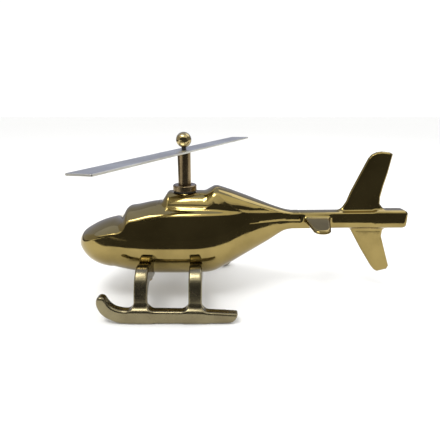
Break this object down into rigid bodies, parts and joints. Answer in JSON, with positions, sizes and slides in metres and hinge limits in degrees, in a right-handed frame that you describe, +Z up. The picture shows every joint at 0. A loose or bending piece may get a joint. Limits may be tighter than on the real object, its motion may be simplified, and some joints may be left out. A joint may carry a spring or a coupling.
{
  "type": "helicopter scale model",
  "caption": "Polished brass desk model of a skid-gear helicopter, with a two-blade rotor that spins on a turned mast under a ball finial.",
  "frame": {"origin": "on the table, under the middle of the model's overall box", "axes": "+X from nose to tail, +Y towards the starboard side as it is seen with the tail at +X, +Z up"},
  "size_m": [0.2744, 0.1914, 0.1383],
  "materials": {
    "body_brass": "mirror-polished cast brass",
    "gear_brass": "polished cast brass, paler and greyer",
    "mast_brass": "turned brass, darkened with age",
    "ball_brass": "mirror-polished turned brass",
    "blade_brass": "satin sheet brass with a lengthwise grain",
    "screw_brass": "plain turned brass",
    "black_fibre": "matt black fibre",
    "dark_steel": "blackened steel",
    "steel": "plain steel"
  },
  "bodies": {
    "airframe": {"fuselage_casting": "body_brass", "left_skid": "gear_brass", "right_skid": "gear_brass", "mast_washer": "black_fibre", "mast_collar": "mast_brass", "mast_column": "mast_brass", "mast_stud": "steel", "thrust_washer": "steel", "rotor_pin": "dark_steel", "ball_finial": "ball_brass", "front_left_gear_screw": "screw_brass", "front_right_gear_screw": "screw_brass", "rear_left_gear_screw": "screw_brass", "rear_right_gear_screw": "screw_brass"},
    "rotor": {"rotor_blade": "blade_brass"}
  },
  "joints": [
    {"name": "rotor_spin", "type": "hinge", "parent": "airframe", "child": "rotor", "pos_m": [-0.0474, 0, 0.12365], "axis": [0, 0, 1], "continuous": true}
  ]
}
